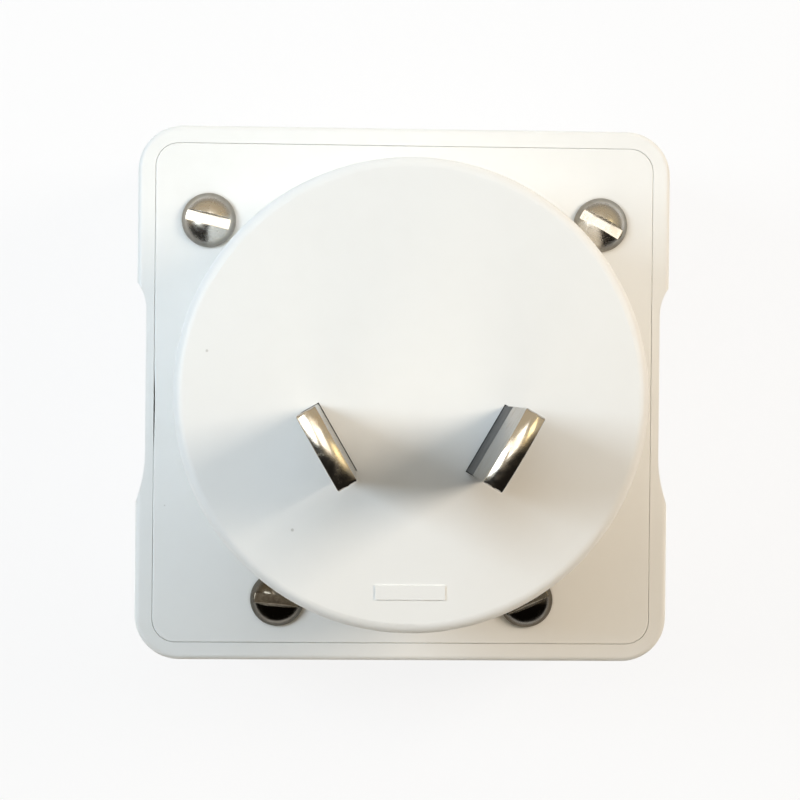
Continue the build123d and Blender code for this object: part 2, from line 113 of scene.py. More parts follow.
class Signal:
    """An output socket, which Python's operators turn into Math nodes."""

    def __init__(self, paint: "Paint", socket: bpy.types.NodeSocket) -> None:
        """Keep the socket and the material that it belongs to.

        Args:
            paint: the material that is being written.
            socket: an output of one of its nodes.
        """
        self.paint = paint
        self.socket = socket

    def _join(self, operation: str, *values: Any) -> "Signal":
        """Return a Math node's result on one or two values."""
        return self.paint.node("ShaderNodeMath", {"operation": operation}, dict(enumerate(values)))

    def __add__(self, other: Any) -> "Signal":
        """Return self + other."""
        return self._join("ADD", self, other)

    def __sub__(self, other: Any) -> "Signal":
        """Return self - other."""
        return self._join("SUBTRACT", self, other)

    def __mul__(self, other: Any) -> "Signal":
        """Return self * other."""
        return self._join("MULTIPLY", self, other)

    def __rsub__(self, other: Any) -> "Signal":
        """Return other - self."""
        return self._join("SUBTRACT", other, self)

    __radd__ = __add__
    __rmul__ = __mul__

    def apply(self, op: Op, *others: Any) -> "Signal":
        """Return a named operation on this value and, where it takes one, another."""
        return self._join(op.value, self, *others)

    def ramp(self, low: float, high: float) -> "Signal":
        """Return a smooth step: 0 at low, 1 at high.

        Args:
            low: the value that gives 0.
            high: the value that gives 1. Where it is less than low, the step falls.
        """
        rising = low < high
        return self.paint.node(
            "ShaderNodeMapRange",
            {"interpolation_type": "SMOOTHSTEP"},
            {
                "Value": self,
                "From Min": min(low, high),
                "From Max": max(low, high),
                "To Min": 0.0 if rising else 1.0,
                "To Max": 1.0 if rising else 0.0,
            },
        )


class Paint:
    """A procedural material or world, written as expressions on coordinates."""

    def __init__(self, owner: bpy.types.Material | bpy.types.World) -> None:
        """Empty the owner's nodes.

        Args:
            owner: the material or world to write.
        """
        self.owner = owner
        owner.use_nodes = True
        self.tree = owner.node_tree
        self.tree.nodes.clear()
        place = self.node("ShaderNodeTexCoord", {}, {}, "Object")
        self.place = self.vector("SCALE", place, {"Scale": 1 / MM})

    @classmethod
    def named(cls, name: str) -> "Paint":
        """Start an empty material of that name."""
        return cls(bpy.data.materials.new(name))

    def node(
        self, kind: str, settings: dict[str, Any], inputs: dict[Any, Any], output: Any = 0
    ) -> Signal:
        """Add a node and return one of its outputs.

        Args:
            kind: the node's type.
            settings: its own settings, made before its sockets are filled.
            inputs: a value or a Signal for each socket, by name or number.
            output: the name or number of the output.
        """
        made = self.tree.nodes.new(kind)
        for name, value in settings.items():
            setattr(made, name, value)
        for key, value in inputs.items():
            if isinstance(value, Signal):
                self.tree.links.new(value.socket, made.inputs[key])
            else:
                made.inputs[key].default_value = value
        return Signal(self, made.outputs[output])

    def vector(self, operation: str, first: Any, more: dict[Any, Any], output: Any = 0) -> Signal:
        """Return a Vector Math node's result on a vector and its other sockets' values."""
        inputs = {0: first, **more}
        return self.node("ShaderNodeVectorMath", {"operation": operation}, inputs, output)

    def about(self, centre: Place, stretch: Place = (1.0, 1.0, 1.0)) -> Signal:
        """Return the place in millimetres from a centre, stretched along the axes.

        Args:
            centre: the new origin, in metres.
            stretch: the factor along each axis.
        """
        moved = self.vector("SUBTRACT", self.place, {1: [c / MM for c in centre]})
        return self.vector("MULTIPLY", moved, {1: stretch})

    def axis(self, vector: Signal, name: str) -> Signal:
        """Return the component X, Y or Z of a vector."""
        return self.node("ShaderNodeSeparateXYZ", {}, {0: vector}, name)

    def radius(self, vector: Signal) -> Signal:
        """Return the length of a vector."""
        return self.vector("LENGTH", vector, {}, "Value")

    def noise(self, where: Signal, scale: float, detail: float = 2.0, warp: float = 0.0) -> Signal:
        """Return fractal noise about 0.5.

        Args:
            where: the coordinates.
            scale: features per millimetre.
            detail: octaves.
            warp: how far the noise bends itself.
        """
        inputs = {"Vector": where, "Scale": scale, "Detail": detail, "Distortion": warp}
        return self.node("ShaderNodeTexNoise", {}, inputs, "Fac")

    def cells(self, where: Signal, scale: float) -> Signal:
        """Return the distance to the nearest of scattered points.

        Args:
            where: the coordinates.
            scale: points per millimetre.
        """
        return self.node("ShaderNodeTexVoronoi", {}, {"Vector": where, "Scale": scale}, "Distance")

    def blend(self, share: Any, first: Any, second: Any) -> Signal:
        """Return a mix of two colours.

        Args:
            share: 0 gives the first, 1 the second.
            first: three numbers or a Signal.
            second: three numbers or a Signal.
        """
        first, second = (c if isinstance(c, Signal) else (*c, 1.0) for c in (first, second))
        inputs = {"Factor": share, 6: first, 7: second}
        return self.node("ShaderNodeMix", {"data_type": "RGBA"}, inputs, 2)

    def relief(self, height: Signal, depth: float, under: Signal | None = None) -> Signal:
        """Return the normal of a height map.

        Args:
            height: 0 to 1.
            depth: the millimetres that a height of 1 stands for.
            under: a normal that this relief lies on.
        """
        inputs = {"Height": height, "Distance": depth * MM}
        if under is not None:
            inputs["Normal"] = under
        return self.node("ShaderNodeBump", {}, inputs)

    def close(self, **values: Any) -> bpy.types.Material:
        """End the material with a Principled shader.

        Args:
            values: the shader's sockets, with underscores for the spaces in their names.
        """
        sockets = {name.replace("_", " "): value for name, value in values.items()}
        self.show(self.node("ShaderNodeBsdfPrincipled", {}, sockets))
        return self.owner

    def show(self, shader: Signal) -> None:
        """Join a shader to the owner's output."""
        kind = "World" if isinstance(self.owner, bpy.types.World) else "Material"
        end = self.tree.nodes.new(f"ShaderNodeOutput{kind}")
        self.tree.links.new(shader.socket, end.inputs["Surface"])

    def seen(self) -> Signal:
        """Return 1 for the camera's rays and for those that metal or clear pieces send on."""
        paths = ("Is Camera Ray", "Is Glossy Ray", "Is Transmission Ray")
        camera, glossy, clear = (self.node("ShaderNodeLightPath", {}, {}, name) for name in paths)
        return (camera + glossy + clear).apply(Op.MINIMUM, 1.0)


@dataclass(frozen=True)
class MouldedPlastic:
    """Injection-moulded plastic: even colour, a fine grain, slow waves, and a few specks."""

    colour: Colour = (0.87, 0.87, 0.85)
    shade: Colour = (0.82, 0.815, 0.785)
    speck: Colour = (0.2, 0.17, 0.13)
    grime_and_shade: Colour = (0.4, 0.36, 0.3)
    roughness: float = 0.48
    ior: float = 1.49
    cloud_scale: float = 0.055
    cloud_share: float = 0.7
    haze_scale: float = 0.6
    haze_blur: float = 0.12
    grain_scale: float = 7.0
    grain_depth: float = 0.004
    grain_share: float = 0.8
    grain_blur: float = 0.1
    shade_fade: Span = (0.35, 0.75)
    shade_strength: float = 0.3
    wave_scale: float = 0.16
    wave_depth: float = 0.02
    speck_scale: float = 0.22
    speck_radius: float = 0.035
    speck_edge: float = 0.6
    speck_strength: float = 0.35
    rarity_scale: float = 0.17
    rarity_fade: Span = (0.55, 0.6)
    grime_and_shade_fade: Span = (0.25, 0.7)
    grime_and_shade_strength: float = 0.35
    parting_fade: Span = (0.09, 0.02)
    parting_depth: float = 0.02
    parting_evenness: float = 0.6
    parting_strength: float = 0.12

    def material(
        self,
        name: str,
        rings: tuple[tuple[Place, float, float], ...] = (),
        parting_height: float | None = None,
    ) -> bpy.types.Material:
        """Make the material of one moulding.

        Args:
            name: the material's name.
            rings: centre, radius and width of each darkened ring, painted shade and grimy rings
                alike, in metres. The centre's height is that of the surface that the ring lies on.
            parting_height: the height of the line where the mould's halves met, in metres.
        """
        paint = Paint.named(name)
        cloud = paint.noise(paint.place, self.cloud_scale, 2.0)
        haze = paint.noise(paint.place, self.haze_scale, 3.0)
        grain = paint.noise(paint.place, self.grain_scale, 3.0)
        shaded = (cloud * self.cloud_share + haze * (1 - self.cloud_share)).ramp(*self.shade_fade)
        colour = paint.blend(shaded * self.shade_strength, self.colour, self.shade)
        specks = paint.cells(paint.place, self.speck_scale)
        specks = specks.ramp(self.speck_radius, self.speck_radius * self.speck_edge)
        rare = paint.noise(paint.place, self.rarity_scale, 1.0).ramp(*self.rarity_fade)
        colour = paint.blend(specks * rare * self.speck_strength, colour, self.speck)
        height = haze * (1 - self.grain_share) + grain * self.grain_share
        # Each ring darkens the colour: painted shade at the boss's foot, a grimy ring round each
        # screw head.
        for centre, radius, width in rings:
            away = paint.radius(paint.about(centre, (1.0, 1.0, 0.0))) - radius / MM
            above = paint.axis(paint.about(centre), "Z").apply(Op.ABSOLUTE).ramp(width / MM, 0.0)
            ring = away.apply(Op.ABSOLUTE).ramp(width / MM, 0.0) * above
            ring = ring * haze.ramp(*self.grime_and_shade_fade)
            colour = paint.blend(ring * self.grime_and_shade_strength, colour, self.grime_and_shade)
        rough = self.roughness + (haze - 0.5) * self.haze_blur + (grain - 0.5) * self.grain_blur
        slow = paint.relief(paint.noise(paint.place, self.wave_scale, 1.0), self.wave_depth)
        if parting_height is not None:
            level = paint.axis(paint.about((0.0, 0.0, parting_height)), "Z")
            line = level.apply(Op.ABSOLUTE).ramp(*self.parting_fade)
            share = self.parting_evenness + (1 - self.parting_evenness) * haze
            slow = paint.relief(line * share, self.parting_depth, slow)
            colour = paint.blend(line * self.parting_strength, colour, self.grime_and_shade)
        return paint.close(
            Base_Color=colour,
            Roughness=rough,
            Normal=paint.relief(height, self.grain_depth, slow),
            IOR=self.ior,
        )


@dataclass(frozen=True)
class FilledPlastic:
    """Matt insulating plastic with short pale fibres in it."""

    colour: Colour = (0.62, 0.62, 0.58)
    fibre: Colour = (0.78, 0.78, 0.74)
    roughness: float = 0.55
    ior: float = 1.5
    fibre_stretches: tuple[Place, Place] = ((0.5, 4.0, 4.0), (4.0, 0.5, 4.0))
    fibre_scale: float = 1.6
    fibre_warp: float = 0.6
    fibre_fade: Span = (0.58, 0.72)
    fibre_strength: float = 0.6
    fibre_height: float = 0.008
    fibre_gloss: float = 0.12
    cloud_scale: float = 0.12
    cloud_strength: float = 0.15
    cloud_blur: float = 0.1

    def material(self, name: str) -> bpy.types.Material:
        """Make the material of one insulating piece.

        Args:
            name: the material's name.
        """
        paint = Paint.named(name)
        along_x, along_y = (
            paint.noise(paint.about((0, 0, 0), stretch), self.fibre_scale, 3.0, self.fibre_warp)
            for stretch in self.fibre_stretches
        )
        fibres = along_x.apply(Op.MAXIMUM, along_y).ramp(*self.fibre_fade)
        cloud = paint.noise(paint.place, self.cloud_scale, 2.0)
        pale = fibres * self.fibre_strength + cloud * self.cloud_strength
        return paint.close(
            Base_Color=paint.blend(pale, self.colour, self.fibre),
            Roughness=self.roughness - fibres * self.fibre_gloss + cloud * self.cloud_blur,
            Normal=paint.relief(fibres, self.fibre_height),
            IOR=self.ior,
        )


@dataclass(frozen=True)
class NickelPlate:
    """Bright nickel on brass: polish lines, finger marks, pits, and thin plate at worn places."""

    colour: Colour = (0.73, 0.71, 0.67)
    brass: Colour = (0.74, 0.56, 0.3)
    dirt_and_shade: Colour = (0.09, 0.075, 0.055)
    painted_reflection_colour: Colour = (0.12, 0.135, 0.155)
    grazing: Colour = (0.6, 0.6, 0.6)
    roughness: float = 0.13
    line_depth: float = 0.0016
    line_blur: float = 0.05
    smear_scale: float = 0.75
    smear_warp: float = 0.8
    smear_fade: Span = (0.45, 0.75)
    smear_blur: float = 0.1
    thin_fade: Span = (0.3, 0.8)
    thin_plate: float = 0.18
    pit_scale: float = 1.7
    pit_radius: float = 0.02
    pit_edge: float = 2.2
    pit_depth: float = 2.0
    pit_dirt: float = 0.7
    pit_blur: float = 0.3
    wave_scale: float = 0.45
    wave_depth: float = 0.03
    polish_stretch: Place = (7.0, 7.0, 0.12)
    polish_scale: float = 2.2
    rub_length: float = 2.2
    rub_scale: float = 1.1
    rub_fade: Span = (0.4, 0.65)
    rub_strength: float = 0.3
    rub_blur: float = 0.1
    painted_reflection_strength: float = 0.92
    painted_reflection_fade: Span = (0.25, -0.05)
    painted_reflection_blur: float = 0.35
    root_dark_height: float = 0.5
    root_dark_strength: float = 0.35
    root_dark_blur: float = 0.3
    rings_per_mm: float = 14.0 / (2 * math.pi)
    patch_scale: float = 0.9
    patch_fade: Span = (0.35, 0.7)
    crumb_scale: float = 2.5
    crumb_fade: Span = (0.3, 0.6)
    slot_dirt: Span = (0.28, 0.02)
    slot_strength: float = 0.05
    slot_shelter: float = 0.2
    rim_dark_fade: Span = (0.62, 0.12)
    rim_strength: float = 0.56
    rim_blur: float = 0.1
    blur_where_unshaded: float = 0.12

    def _body(self, paint: Paint, lines: Signal) -> dict[str, Any]:
        """Return the colour, roughness and normal that every plated piece shares.

        Args:
            paint: the material.
            lines: polish or turning lines, 0 to 1.

        Returns:
            The three as Signals, under the names colour, rough and normal.
        """
        smear = paint.noise(paint.place, self.smear_scale, 4.0, self.smear_warp)
        pits = paint.cells(paint.place, self.pit_scale)
        pits = pits.ramp(self.pit_radius * self.pit_edge, self.pit_radius)
        waves = paint.relief(paint.noise(paint.place, self.wave_scale, 1.0), self.wave_depth)
        fine = paint.relief(lines - pits * self.pit_depth, self.line_depth, waves)
        thin = smear.ramp(*self.thin_fade) * self.thin_plate
        colour = paint.blend(thin, self.colour, self.brass)
        colour = paint.blend(pits * self.pit_dirt, colour, self.dirt_and_shade)
        rough = self.roughness + smear.ramp(*self.smear_fade) * self.smear_blur
        rough = rough + lines * self.line_blur + pits * self.pit_blur
        return {"colour": colour, "rough": rough, "normal": fine}

    def pin(self, name: str, tip: float, root: float, painted_reflection_height: float) -> bpy.types.Material:
        """Make the finish of a flat pin, polished along its length and rubbed at its tip.

        Args:
            name: the material's name.
            tip: height of the pin's end, in metres.
            root: height of the face that the pin leaves, in metres.
            painted_reflection_height: how far a painted reflection, a dark blue-grey band, reaches
                up from that face, in metres.
        """
        paint = Paint.named(name)
        lines = paint.noise(paint.about((0, 0, 0), self.polish_stretch), self.polish_scale, 3.0)
        body = self._body(paint, lines)
        level = paint.axis(paint.place, "Z")
        worn = paint.noise(paint.place, self.rub_scale, 3.0).ramp(*self.rub_fade)
        rubbed = level.ramp(tip / MM - self.rub_length, tip / MM) * worn
        # Painted reflection: a dark blue-grey band up the neutral pin's side, for the shaded face
        # that it mirrors.
        painted_reflection = level.ramp(*((root + painted_reflection_height) / MM + fade for fade in self.painted_reflection_fade))
        # Darker over the half millimetre next to the face that the pin leaves.
        root_darkening = level.ramp(root / MM + self.root_dark_height, root / MM) * self.root_dark_strength
        colour = paint.blend(rubbed * self.rub_strength, body["colour"], self.brass)
        colour = paint.blend(painted_reflection * self.painted_reflection_strength, colour, self.painted_reflection_colour)
        colour = paint.blend(root_darkening, colour, self.dirt_and_shade)
        rough = body["rough"] + root_darkening * self.root_dark_blur + painted_reflection * self.painted_reflection_blur
        return paint.close(
            Base_Color=colour,
            Metallic=1.0,
            Roughness=rough + rubbed * self.rub_blur,
            Normal=body["normal"],
            Specular_Tint=(*self.grazing, 1.0),
        )

    def screw(
        self, name: str, centre: Place, radius: float, slot_floor: float, tarnish_and_shade: float
    ) -> bpy.types.Material:
        """Make the finish of a screw head: turning rings, a grimy slot, a darker rim, and painted
        shade.

        Args:
            name: the material's name.
            centre: a point on the screw's axis, in metres.
            radius: the head's radius, in metres.
            slot_floor: height of the slot's floor, in metres.
            tarnish_and_shade: share of the plate's brightness taken by painted shade, a dark colour
                that stands in for dark reflections.
        """
        paint = Paint.named(name)
        from_axis = paint.about(centre, (1.0, 1.0, 0.0))
        reach = paint.radius(from_axis)
        rings = (reach * (2 * math.pi * self.rings_per_mm)).apply(Op.SINE) * 0.5 + 0.5
        patchy = rings * paint.noise(paint.place, self.patch_scale, 2.0).ramp(*self.patch_fade)
        body = self._body(paint, patchy)
        level = paint.axis(paint.place, "Z")
        deep = level.ramp(*(slot_floor / MM + rise for rise in self.slot_dirt))
        # Darker towards the rim of the head.
        outer = reach.ramp(*(radius / MM - inset for inset in self.rim_dark_fade))
        crumbs = paint.noise(paint.place, self.crumb_scale, 3.0).ramp(*self.crumb_fade)
        darkened = deep * self.slot_strength * crumbs + outer * self.rim_strength
        # Painted shade: the plate darkens by the screw's share, less in the slot, standing in for
        # dark reflections.
        dull = (1.0 - deep * self.slot_shelter) * tarnish_and_shade
        colour = paint.blend(darkened, paint.blend(dull, body["colour"], self.dirt_and_shade), self.dirt_and_shade)
        rough = body["rough"] + (1.0 - tarnish_and_shade) * self.blur_where_unshaded
        return paint.close(
            Base_Color=colour,
            Metallic=1.0,
            Roughness=rough + outer * self.rim_blur,
            Normal=body["normal"],
        )


@dataclass(frozen=True)
class SheetMetal:
    """Bare strip or wire: rolling lines along one axis, and slow tarnishing."""

    colour: Colour
    tarnish_and_shade: Colour
    roughness: float = 0.28
    grain: Place = (0.15, 5.0, 5.0)
    grain_scale: float = 2.4
    grain_depth: float = 0.003
    grain_blur: float = 0.12
    tarnish_scale: float = 0.35
    tarnish_warp: float = 0.5
    tarnish_fade: Span = (0.42, 0.75)
    tarnish_strength: float = 0.6
    tarnish_blur: float = 0.15
    spot_scale: float = 2.1
    spot_fade: Span = (0.62, 0.72)
    spot_strength: float = 0.25

    def material(self, name: str) -> bpy.types.Material:
        """Make the finish of one pressed or drawn piece.

        Args:
            name: the material's name.
        """
        paint = Paint.named(name)
        lines = paint.noise(paint.about((0, 0, 0), self.grain), self.grain_scale, 3.0)
        tarnish_and_shade = paint.noise(paint.place, self.tarnish_scale, 4.0, self.tarnish_warp)
        tarnish_and_shade = tarnish_and_shade.ramp(*self.tarnish_fade)
        spots = paint.noise(paint.place, self.spot_scale, 2.0).ramp(*self.spot_fade)
        dull = tarnish_and_shade * self.tarnish_strength + spots * self.spot_strength
        return paint.close(
            Base_Color=paint.blend(dull, self.colour, self.tarnish_and_shade),
            Metallic=1.0,
            Roughness=self.roughness + tarnish_and_shade * self.tarnish_blur + lines * self.grain_blur,
            Normal=paint.relief(lines, self.grain_depth),
        )


class Surface:
    """Meshes made from whole arrays of points."""

    @staticmethod
    def piece(name: str, points: np.ndarray, faces: list[tuple[int, ...]]) -> bpy.types.Object:
        """Make a smooth-shaded object that keeps its sharp edges.

        Args:
            name: the piece's name.
            points: one row of x, y, z per vertex, in metres.
            faces: vertex numbers of each face, wound so that the normals point outwards.
        """
        mesh = bpy.data.meshes.new(name)
        mesh.from_pydata(points, [], faces)
        mesh.validate()
        mesh.shade_smooth()
        mesh.set_sharp_from_angle(angle=SHARP_ANGLE)
        made = bpy.data.objects.new(name, mesh)
        bpy.context.scene.collection.objects.link(made)
        return made

    @staticmethod
    def tube_faces(rows: int, around: int, first: int = 0) -> list[tuple[int, ...]]:
        """Return the faces of a closed tube: quads between its rings, and a cap on each end.

        Vertex number of ring i and place j is first + i * around + j, and j runs anticlockwise
        about the direction in which i grows.

        Args:
            rows: how many rings.
            around: vertices in each ring.
            first: number of the first vertex.
        """
        i, j = np.meshgrid(np.arange(rows - 1), np.arange(around), indexing="ij")
        after = (j + 1) % around
        low, high = first + i * around, first + (i + 1) * around
        quads = np.stack([low + j, low + after, high + after, high + j], axis=-1).reshape(-1, 4)
        start = tuple(range(first + around - 1, first - 1, -1))
        end = tuple(range(first + (rows - 1) * around, first + rows * around))
        return [*map(tuple, quads.tolist()), start, end]


def middle(node: str, height: float) -> Place:
    """Return the middle of a node's box in plan, at a given height."""
    low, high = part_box(node)
    return ((low.x + high.x) / 2, (low.y + high.y) / 2, height)


def plan_radius(node: str) -> float:
    """Return the radius of a round node, seen from above."""
    low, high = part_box(node)
    return (high.x - low.x) / 2


@dataclass
class FlatPin:
    """A flat pin of the plug, with its shoulders, tail and riveted tenon inside the boss."""

    node: str
    side: int
    face_height: float
    painted_reflection_height: float
    centre_y: float = -3.9 * MM
    centre_x: float = 6.85 * MM
    lean: float = math.radians(30)
    width: float = 6.35 * MM
    thickness: float = 1.63 * MM
    plan_corner: float = 0.15 * MM
    tip_edge: float = 0.1 * MM
    tip_slope: float = math.radians(29)
    crown: float = 0.62 * MM
    crown_reach: float = 2.0 * MM
    shoulder: float = 9.4 * MM
    shoulder_depths: tuple[float, float] = (4.6 * MM, 2.2 * MM)
    tail: float = 5.6 * MM
    tenon: float = 2.4 * MM
    tenon_head: float = 3.3 * MM
    tenon_levels: tuple[float, float] = (0.6 * MM, 1.4 * MM)
    ledge: float = 0.02 * MM
    per_corner: int = 6
    per_side: int = 14
    per_end: int = 3
    rows: int = 12
    ridge_left: float = 0.02
    ridge_corner: float = 0.98

    def section(self, width: np.ndarray, thickness: np.ndarray, edge: np.ndarray) -> np.ndarray:
        """Return a ring of points for each width and thickness.

        The ring is a rounded rectangle: four quarter circles of radius edge about the inner
        corners, joined by evenly divided sides.

        Args:
            width: the rings' widths.
            thickness: their thicknesses.
            edge: their corner radii.

        Returns:
            An array of rings, places and the two coordinates along and across the pin.
        """
        quarter = np.linspace(0, math.pi / 2, self.per_corner)
        turn = (quarter + np.arange(4)[:, None] * math.pi / 2).ravel()
        sign = np.repeat(np.array([(1, 1), (-1, 1), (-1, -1), (1, -1)]), self.per_corner, axis=0)
        half = np.stack([width / 2 - edge, thickness / 2 - edge], axis=-1)
        circle = np.stack([np.cos(turn), np.sin(turn)], axis=-1)
        corners = half[:, None, :] * sign + edge[:, None, None] * circle
        ring = []
        for k, count in enumerate((self.per_side, self.per_end) * 2):
            arc = corners[:, k * self.per_corner : (k + 1) * self.per_corner]
            following = corners[:, [((k + 1) * self.per_corner) % corners.shape[1]]]
            share = np.linspace(0, 1, count + 1)[1:-1, None]
            ring += [arc, arc[:, -1:] + share * (following - arc[:, -1:])]
        return np.concatenate(ring, axis=1)

    def rings(self) -> np.ndarray:
        """Return the height, width, thickness and corner radius of each ring, from tenon to tip.

        Below the face the widths step, each within a ledge's height. At the top the blade's edge
        follows a quarter circle until it leans at tip_slope, and from there a parabola closes in
        on the ridge: the height left to the ridge is rise * (share of the half thickness left)^2.
        Only the edge narrows the width, so the ridge runs from end to end.

        Returns:
            One row of the four numbers per ring.
        """
        low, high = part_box(self.node)
        head_top, tail_foot = (low.z + level for level in self.tenon_levels)
        shoulder_foot, shoulder_top = (self.face_height - depth for depth in self.shoulder_depths)
        steps = [(low.z, self.tenon_head), (head_top - self.ledge, self.tenon_head)]
        steps += [(head_top, self.tenon), (tail_foot - self.ledge, self.tenon)]
        steps += [(tail_foot, self.tail), (shoulder_foot - self.ledge, self.tail)]
        steps += [(shoulder_foot, self.shoulder), (shoulder_top - self.ledge, self.shoulder)]
        lean = np.linspace(0, math.pi / 2 - self.tip_slope, self.rows)
        inset = self.tip_edge * (1 - np.cos(lean))
        half = self.thickness / 2 - inset[-1]
        rise = half * math.tan(self.tip_slope) / 2
        left = np.linspace(1, self.ridge_left, 2 * self.rows)[1:]
        edge_top = high.z - rise
        edge = edge_top + self.tip_edge * (np.sin(lean) - math.cos(self.tip_slope))
        blade = np.linspace(shoulder_top, edge[0], 2 * self.rows)[:-1]
        height = np.concatenate([blade, edge, high.z - rise * left**2])
        inward = np.concatenate([0 * blade, inset, self.thickness / 2 - half * left])
        thickness = self.thickness - 2 * inward
        share = np.concatenate([0 * blade, 0 * lean, 1 - left])
        plan_share = self.plan_corner / (self.thickness / 2)
        corner = thickness / 2 * (plan_share * (1 - share) + self.ridge_corner * share)
        width = self.width - 2 * np.minimum(inward, inset[-1])
        above = np.stack([height, width, thickness, corner], axis=-1)
        below = np.array([(z, w, self.thickness, self.plan_corner) for z, w in steps])
        return np.concatenate([below, above])

    def ridge_faces(self, rows: int, around: int) -> list[tuple[int, ...]]:
        """Return the quads that close the last ring along the ridge.

        With e vertices inside each end of the ring, vertex j faces vertex around - 1 - e - j
        across the pin. Each quad joins such a pair to the next.

        Args:
            rows: how many rings.
            around: vertices in each ring.
        """
        first, inside = (rows - 1) * around, self.per_end - 1
        j = np.arange(-(inside // 2), (around - inside) // 2 - 1)
        facing = around - 1 - inside - j
        quads = np.stack([j, j + 1, facing - 1, facing], axis=-1) % around + first
        return [*map(tuple, quads.tolist())]

    def build(self) -> bpy.types.Object:
        """Sweep the section up the pin and place it in the boss.

        A point is foot + a * along + b * across + z * up, where along leans towards the earth side.
        The tip is crowned: z drops by crown * (a / half width)^2, faded in over crown_reach.
        """
        height, width, thickness, corner = self.rings().T
        flat = self.section(width, thickness, corner)
        turn = math.pi / 2 - self.side * self.lean
        along = np.array([math.cos(turn), math.sin(turn), 0])
        across = np.array([-math.sin(turn), math.cos(turn), 0])
        foot = np.array([self.side * self.centre_x, self.centre_y, 0])
        points = foot + flat[..., :1] * along + flat[..., 1:] * across
        fade = np.clip((height - height[-1]) / self.crown_reach + 1, 0, 1)
        share = (fade * fade * (3 - 2 * fade))[:, None]
        drop = self.crown * share * (2 * flat[..., 0] / self.width) ** 2
        points[..., 2] = height[:, None] - drop
        faces = Surface.tube_faces(len(height), flat.shape[1])[:-1]
        faces += self.ridge_faces(len(height), flat.shape[1])
        return Surface.piece(f"{self.node}_plated", points.reshape(-1, 3), faces)

    def finish(self, plate: NickelPlate) -> bpy.types.Object:
        """Build the pin, plate it and put it in its node's place.

        Args:
            plate: the plating.
        """
        made = self.build()
        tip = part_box(self.node)[1].z
        made.data.materials.append(plate.pin(made.name, tip, self.face_height, self.painted_reflection_height))
        return settle(made, self.node)


